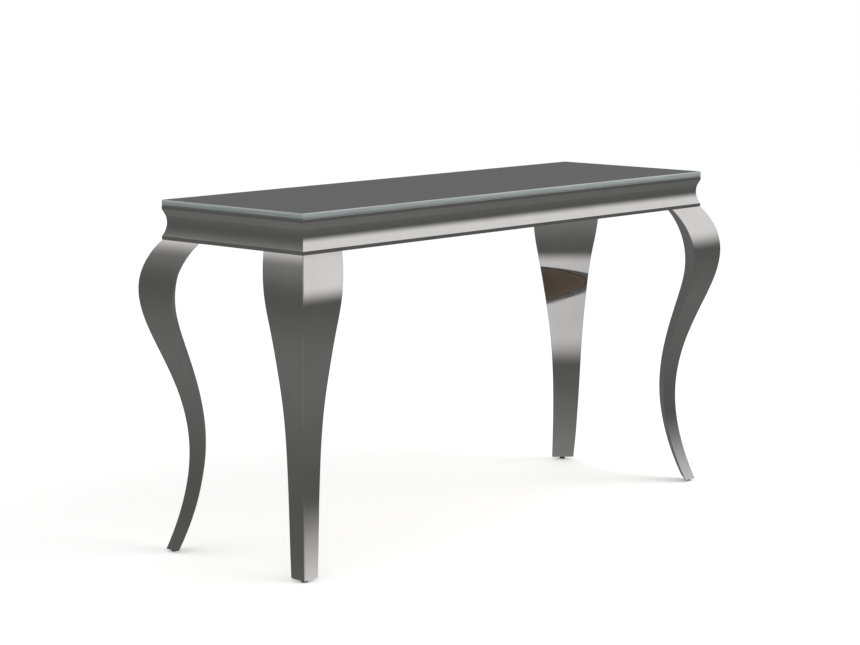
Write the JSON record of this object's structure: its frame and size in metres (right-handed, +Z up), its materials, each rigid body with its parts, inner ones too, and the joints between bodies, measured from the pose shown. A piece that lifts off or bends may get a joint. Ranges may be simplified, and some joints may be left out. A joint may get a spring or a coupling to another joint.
{
  "type": "console table",
  "caption": "Long narrow console table: polished glass top, coved stainless apron and S-curved triangular stainless legs on levelling feet.",
  "frame": {"origin": "on the floor under the middle of the table, at the centre of the box's underside", "axes": "+X along the length, towards the right end seen from the front; -Y is the front; +Z is up"},
  "size_m": [1.4752, 0.5054, 0.78],
  "materials": {
    "top_glass": "clear float glass painted warm grey underneath, polished edges",
    "silicone": "clear silicone",
    "board": "bare fibreboard",
    "polished_steel": "mirror-polished stainless sheet",
    "zinc_steel": "bright zinc plate",
    "foot_plastic": "moulded nylon"
  },
  "bodies": {
    "table": {"glass_top": "top_glass", "glass_pads": "silicone", "deck_board": "board", "deck_screws": "zinc_steel", "apron_front": "polished_steel", "apron_back": "polished_steel", "apron_left": "polished_steel", "apron_right": "polished_steel", "rail_front": "board", "rail_back": "board", "rail_left": "board", "rail_right": "board", "cross_rail_left": "board", "cross_rail_right": "board", "rail_screws": "zinc_steel", "corner_bracket_front_left": "zinc_steel", "corner_bracket_front_right": "zinc_steel", "corner_bracket_back_left": "zinc_steel", "corner_bracket_back_right": "zinc_steel", "leg_front_left": "polished_steel", "leg_front_right": "polished_steel", "leg_back_left": "polished_steel", "leg_back_right": "polished_steel", "leg_plate_front_left": "zinc_steel", "leg_plate_front_right": "zinc_steel", "leg_plate_back_left": "zinc_steel", "leg_plate_back_right": "zinc_steel", "foot_cap_front_left": "polished_steel", "foot_cap_front_right": "polished_steel", "foot_cap_back_left": "polished_steel", "foot_cap_back_right": "polished_steel", "bracket_screws": "zinc_steel", "leg_washers": "zinc_steel", "leg_nuts": "zinc_steel"},
    "levelling_pad_front_left": {"foot_pad_front_left": "foot_plastic"},
    "levelling_stud_front_left": {"foot_stud_front_left": "zinc_steel"},
    "levelling_pad_front_right": {"foot_pad_front_right": "foot_plastic"},
    "levelling_stud_front_right": {"foot_stud_front_right": "zinc_steel"},
    "levelling_pad_back_left": {"foot_pad_back_left": "foot_plastic"},
    "levelling_stud_back_left": {"foot_stud_back_left": "zinc_steel"},
    "levelling_pad_back_right": {"foot_pad_back_right": "foot_plastic"},
    "levelling_stud_back_right": {"foot_stud_back_right": "zinc_steel"}
  },
  "joints": [
    {"name": "foot_extend_front_left", "type": "slide", "parent": "table", "child": "levelling_pad_front_left", "axis": [0, 0, -1], "range_m": [0, 0.006]},
    {"name": "stud_turn_front_left", "type": "hinge", "parent": "levelling_pad_front_left", "child": "levelling_stud_front_left", "pos_m": [-0.6868, -0.2018, 0], "axis": [0, 0, -1], "range_deg": [0, 2160]},
    {"name": "foot_extend_front_right", "type": "slide", "parent": "table", "child": "levelling_pad_front_right", "axis": [0, 0, -1], "range_m": [0, 0.006]},
    {"name": "stud_turn_front_right", "type": "hinge", "parent": "levelling_pad_front_right", "child": "levelling_stud_front_right", "pos_m": [0.6868, -0.2018, 0], "axis": [0, 0, -1], "range_deg": [0, 2160]},
    {"name": "foot_extend_back_left", "type": "slide", "parent": "table", "child": "levelling_pad_back_left", "axis": [0, 0, -1], "range_m": [0, 0.006]},
    {"name": "stud_turn_back_left", "type": "hinge", "parent": "levelling_pad_back_left", "child": "levelling_stud_back_left", "pos_m": [-0.6868, 0.2018, 0], "axis": [0, 0, -1], "range_deg": [0, 2160]},
    {"name": "foot_extend_back_right", "type": "slide", "parent": "table", "child": "levelling_pad_back_right", "axis": [0, 0, -1], "range_m": [0, 0.006]},
    {"name": "stud_turn_back_right", "type": "hinge", "parent": "levelling_pad_back_right", "child": "levelling_stud_back_right", "pos_m": [0.6868, 0.2018, 0], "axis": [0, 0, -1], "range_deg": [0, 2160]}
  ],
  "couplings": [
    {"joint": "stud_turn_front_left", "follows": "foot_extend_front_left", "rad_per_m": 6283.2},
    {"joint": "stud_turn_front_right", "follows": "foot_extend_front_right", "rad_per_m": 6283.2},
    {"joint": "stud_turn_back_left", "follows": "foot_extend_back_left", "rad_per_m": 6283.2},
    {"joint": "stud_turn_back_right", "follows": "foot_extend_back_right", "rad_per_m": 6283.2}
  ]
}
